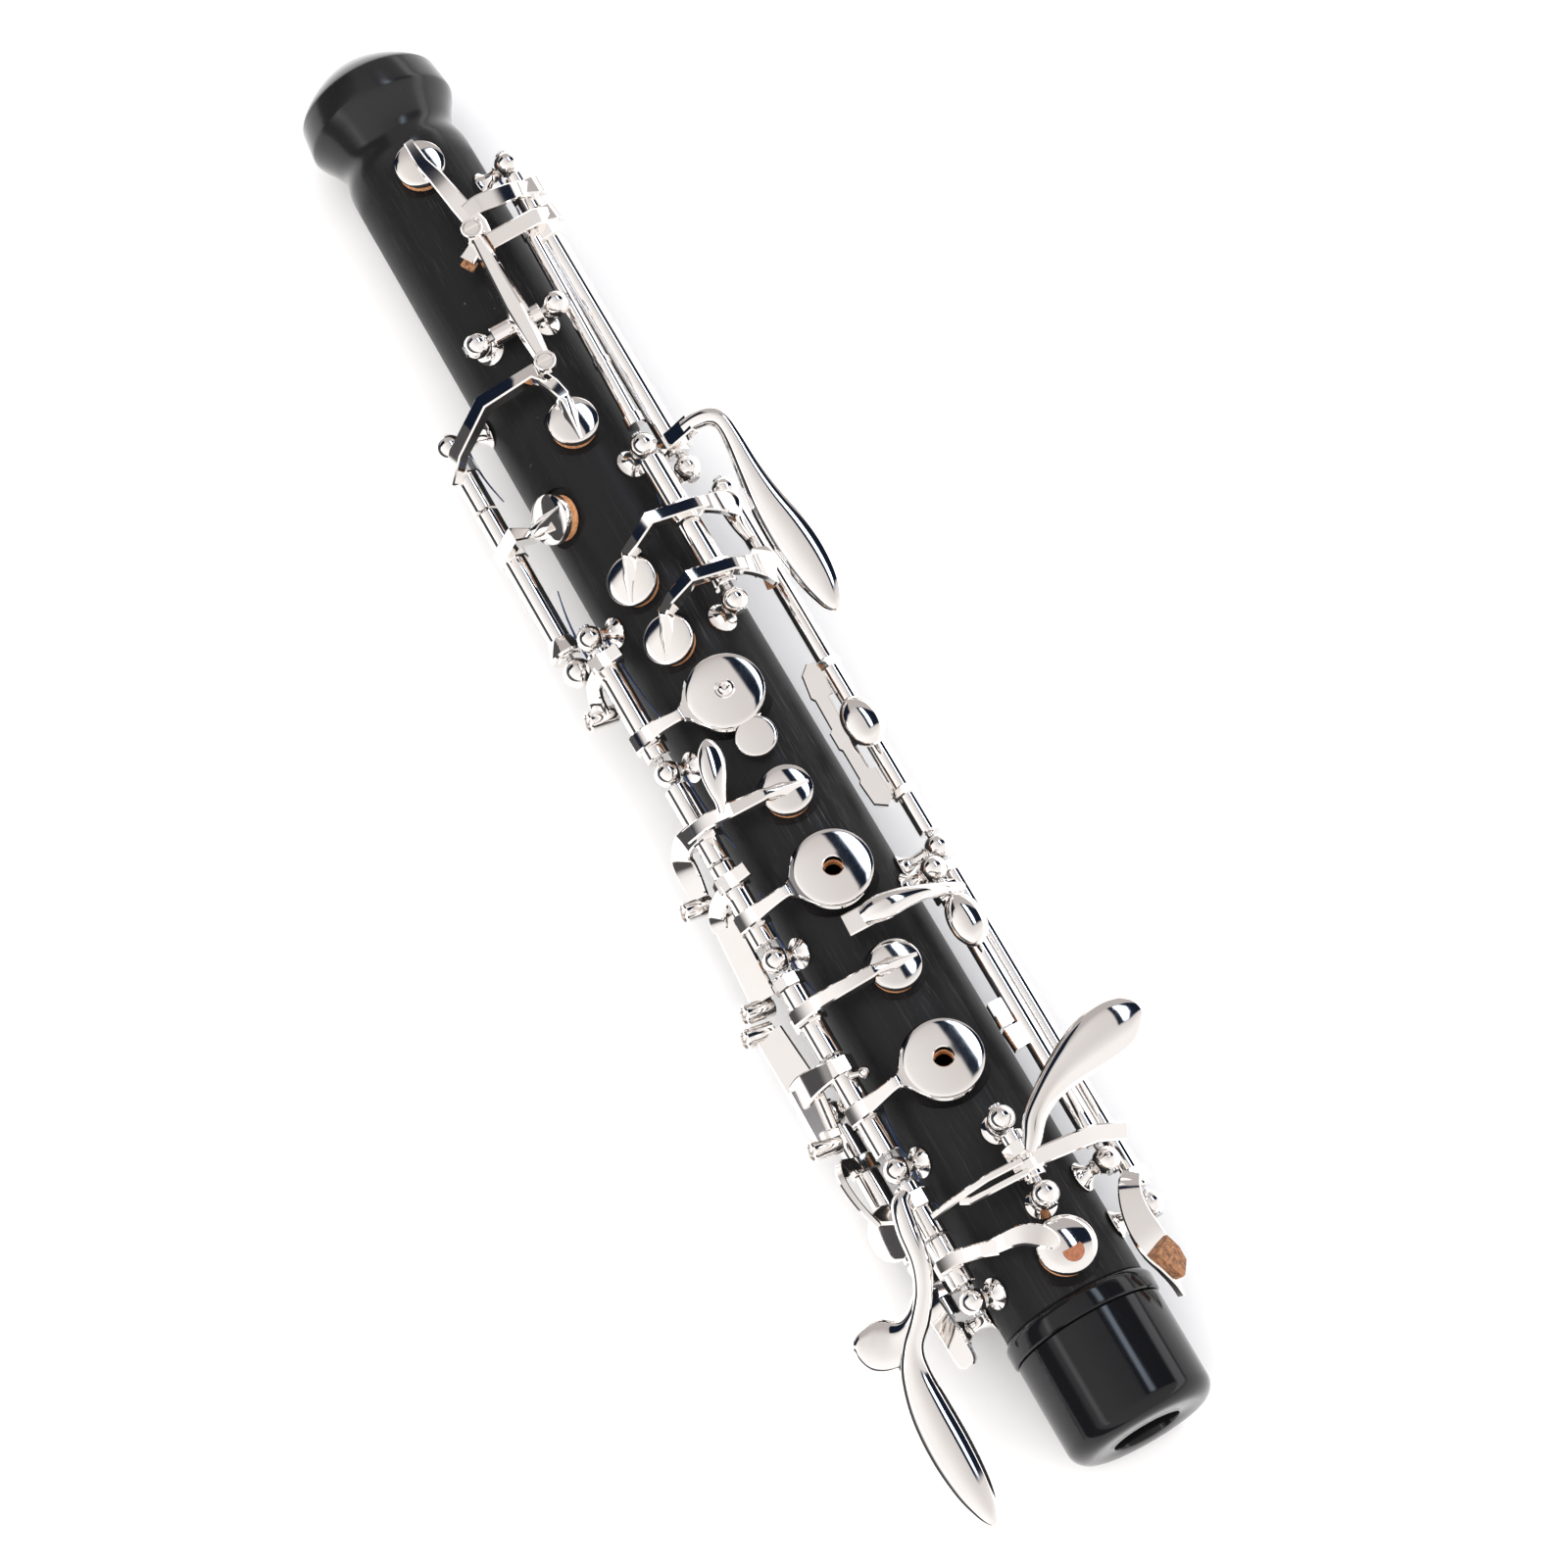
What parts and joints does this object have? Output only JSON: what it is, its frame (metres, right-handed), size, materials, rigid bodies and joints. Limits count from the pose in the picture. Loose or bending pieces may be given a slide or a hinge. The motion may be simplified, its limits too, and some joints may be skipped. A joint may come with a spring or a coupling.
{
  "type": "oboe upper joint",
  "caption": "Upper joint of an oboe: black conical-bore tube with reed socket, tenon under a protective cap, and silver-plated hinged keywork with cork pads.",
  "frame": {"origin": "on the bore's axis at the tenon end, in the plane of the cap's end face", "axes": "+Y runs along the bore to the reed end, +Z is the side that carries the keys, +X is the side of the long trill levers"},
  "size_m": [0.0622, 0.2584, 0.0317],
  "materials": {
    "blackwood": "satin black wood with fine lengthwise polishing lines",
    "black_gloss": "polished black",
    "silver_plate": "polished silver plate on nickel silver",
    "steel": "drawn steel",
    "pad_cork": "fine tan cork",
    "tenon_cork": "greased sheet cork"
  },
  "bodies": {
    "root": {"post_left_1": "silver_plate", "post_left_2": "silver_plate", "post_left_3": "silver_plate", "post_left_4": "silver_plate", "post_left_5": "silver_plate", "post_low_1": "silver_plate", "post_low_2": "silver_plate", "post_octave_1": "silver_plate", "post_octave_2": "silver_plate", "post_rocker_left": "silver_plate", "post_rocker_right": "silver_plate", "post_sharp_1": "silver_plate", "post_sharp_2": "silver_plate", "post_short_1": "silver_plate", "post_short_2": "silver_plate", "post_thumb_1": "silver_plate", "post_thumb_2": "silver_plate", "post_trill_1": "silver_plate", "post_trill_2": "silver_plate", "post_trill_3": "silver_plate", "post_upper_right_1": "silver_plate", "post_upper_right_2": "silver_plate", "reed_socket_liner": "steel", "rod_left_stack": "steel", "tenon_cork": "tenon_cork", "tenon_ring": "black_gloss", "top_joint_body": "blackwood"},
    "a_ring_key": {"a_ring_key": "silver_plate", "pad_a_ring": "pad_cork"},
    "alternate_c_key": {"alternate_c_key": "silver_plate", "pad_alternate_c": "pad_cork"},
    "b_flat_key": {"b_flat_key": "silver_plate", "pad_b_flat": "pad_cork"},
    "bridge_lever_left": {"bridge_lever_left": "silver_plate"},
    "bridge_lever_right": {"bridge_lever_right": "silver_plate"},
    "g_ring_key": {"g_ring_key": "silver_plate", "pad_g_ring": "pad_cork"},
    "half_hole_key": {"half_hole_key": "silver_plate", "pad_half_hole": "pad_cork"},
    "low_vent_key": {"low_vent_key": "silver_plate", "pad_low_vent": "pad_cork"},
    "lower_octave_key": {"lower_octave_key": "silver_plate", "pad_lower_octave": "pad_cork"},
    "lower_trill_key": {"lower_trill_key": "silver_plate", "pad_lower_trill": "pad_cork"},
    "lower_trill_lever": {"lower_trill_lever": "silver_plate"},
    "top_trill_key": {"top_trill_key": "silver_plate", "pad_top_trill": "pad_cork"},
    "upper_octave_key": {"upper_octave_key": "silver_plate", "pad_upper_octave": "pad_cork"},
    "upper_trill_key": {"upper_trill_key": "silver_plate", "pad_upper_trill": "pad_cork"},
    "right_hand_lever": {"right_hand_lever": "silver_plate"},
    "rocker_lever": {"rocker_lever": "silver_plate"},
    "sharp_key": {"sharp_key": "silver_plate"},
    "side_octave_key": {"side_octave_key": "silver_plate"},
    "tenon_cap": {"tenon_cap": "black_gloss"},
    "thumb_octave_key": {"thumb_octave_key": "silver_plate"},
    "upper_trill_lever": {"upper_trill_lever": "silver_plate"}
  },
  "joints": [
    {"name": "tenon_cap_slide", "type": "slide", "parent": "root", "child": "tenon_cap", "axis": [0, -1, 0], "range_m": [0, 0.03]},
    {"name": "half_hole_hinge", "type": "hinge", "parent": "root", "child": "half_hole_key", "pos_m": [-0.0133, 0.1345, 0.0086], "axis": [0, 1, 0], "range_deg": [0, 4.2], "stiffness_Nm_per_rad": 0.02, "springref_deg": -17.19},
    {"name": "alternate_c_hinge", "type": "hinge", "parent": "root", "child": "alternate_c_key", "pos_m": [-0.0133, 0.11215, 0.0086], "axis": [0, -1, 0], "range_deg": [0, 6], "stiffness_Nm_per_rad": 0.02, "springref_deg": -17.19},
    {"name": "a_ring_hinge", "type": "hinge", "parent": "root", "child": "a_ring_key", "pos_m": [-0.0133, 0.09755, 0.0086], "axis": [0, 1, 0], "range_deg": [0, 4.2], "stiffness_Nm_per_rad": 0.02, "springref_deg": -17.19},
    {"name": "b_flat_hinge", "type": "hinge", "parent": "root", "child": "b_flat_key", "pos_m": [-0.0133, 0.07755, 0.0086], "axis": [0, -1, 0], "range_deg": [0, 6], "stiffness_Nm_per_rad": 0.02, "springref_deg": -17.19},
    {"name": "g_ring_hinge", "type": "hinge", "parent": "root", "child": "g_ring_key", "pos_m": [-0.0133, 0.0614, 0.0086], "axis": [0, 1, 0], "range_deg": [0, 4.2], "stiffness_Nm_per_rad": 0.02, "springref_deg": -17.19},
    {"name": "right_hand_lever_hinge", "type": "hinge", "parent": "root", "child": "right_hand_lever", "pos_m": [-0.0133, 0.0431, 0.0086], "axis": [0, -1, 0], "range_deg": [0, 6], "stiffness_Nm_per_rad": 0.02, "springref_deg": -17.19},
    {"name": "low_vent_hinge", "type": "hinge", "parent": "root", "child": "low_vent_key", "pos_m": [-0.0133, 0.0342, 0.0086], "axis": [0, 1, 0], "range_deg": [0, 4], "stiffness_Nm_per_rad": 0.02, "springref_deg": -17.19},
    {"name": "upper_octave_hinge", "type": "hinge", "parent": "root", "child": "upper_octave_key", "pos_m": [-0.0171, 0.18105, 0.0036], "axis": [0, -1, 0], "range_deg": [0, 3.5], "stiffness_Nm_per_rad": 0.02, "springref_deg": -17.19},
    {"name": "lower_octave_hinge", "type": "hinge", "parent": "root", "child": "lower_octave_key", "pos_m": [-0.0171, 0.16185, 0.0036], "axis": [0, -1, 0], "range_deg": [0, 8], "stiffness_Nm_per_rad": 0.02, "springref_deg": -17.19},
    {"name": "thumb_octave_hinge", "type": "hinge", "parent": "root", "child": "thumb_octave_key", "pos_m": [-0.0165, 0.05165, -0.004], "axis": [0, 1, 0], "range_deg": [0, 6], "stiffness_Nm_per_rad": 0.02, "springref_deg": -17.19},
    {"name": "bridge_lever_left_hinge", "type": "hinge", "parent": "root", "child": "bridge_lever_left", "pos_m": [-0.0165, 0.03465, -0.004], "axis": [0, 1, 0], "range_deg": [0, 5], "stiffness_Nm_per_rad": 0.02, "springref_deg": -17.19},
    {"name": "top_trill_hinge", "type": "hinge", "parent": "root", "child": "top_trill_key", "pos_m": [0.0131, 0.21875, 0.0091], "axis": [0, 1, 0], "range_deg": [0, 6], "stiffness_Nm_per_rad": 0.02, "springref_deg": -17.19},
    {"name": "side_octave_hinge", "type": "hinge", "parent": "root", "child": "side_octave_key", "pos_m": [0.0131, 0.19085, 0.0091], "axis": [0, 1, 0], "range_deg": [0, 3], "stiffness_Nm_per_rad": 0.02, "springref_deg": -17.19},
    {"name": "upper_trill_hinge", "type": "hinge", "parent": "root", "child": "upper_trill_key", "pos_m": [0.0085, 0.1607, 0.0135], "axis": [0, 1, 0], "range_deg": [0, 7], "stiffness_Nm_per_rad": 0.02, "springref_deg": -17.19},
    {"name": "lower_trill_hinge", "type": "hinge", "parent": "root", "child": "lower_trill_key", "pos_m": [0.0085, 0.14835, 0.0135], "axis": [0, 1, 0], "range_deg": [0, 7], "stiffness_Nm_per_rad": 0.02, "springref_deg": -17.19},
    {"name": "upper_trill_lever_hinge", "type": "hinge", "parent": "root", "child": "upper_trill_lever", "pos_m": [0.017, 0.12635, 0.0039], "axis": [0, -1, 0], "range_deg": [0, 6], "stiffness_Nm_per_rad": 0.02, "springref_deg": -17.19},
    {"name": "bridge_lever_right_hinge", "type": "hinge", "parent": "root", "child": "bridge_lever_right", "pos_m": [0.017, 0.06045, 0.0039], "axis": [0, 1, 0], "range_deg": [0, 5], "stiffness_Nm_per_rad": 0.02, "springref_deg": -17.19},
    {"name": "lower_trill_lever_hinge", "type": "hinge", "parent": "root", "child": "lower_trill_lever", "pos_m": [0.0143, 0.0626, 0.0075], "axis": [0, -1, 0], "range_deg": [0, 4], "stiffness_Nm_per_rad": 0.02, "springref_deg": -17.19},
    {"name": "sharp_hinge", "type": "hinge", "parent": "root", "child": "sharp_key", "pos_m": [0.0032, 0.0412, 0.0156], "axis": [0, 1, 0], "range_deg": [0, 5], "stiffness_Nm_per_rad": 0.02, "springref_deg": -17.19},
    {"name": "rocker_lever_hinge", "type": "hinge", "parent": "root", "child": "rocker_lever", "pos_m": [0.001, 0.1974, 0.0138], "axis": [1, 0, 0], "range_deg": [0, 2.1], "stiffness_Nm_per_rad": 0.02, "springref_deg": -17.19}
  ],
  "couplings": [
    {"joint": "rocker_lever_hinge", "follows": "side_octave_hinge", "ratio": 0.68},
    {"joint": "upper_trill_hinge", "follows": "upper_trill_lever_hinge", "ratio": 1.1},
    {"joint": "lower_trill_hinge", "follows": "lower_trill_lever_hinge", "ratio": 1.6},
    {"joint": "lower_octave_hinge", "follows": "thumb_octave_hinge", "ratio": 1.3}
  ]
}
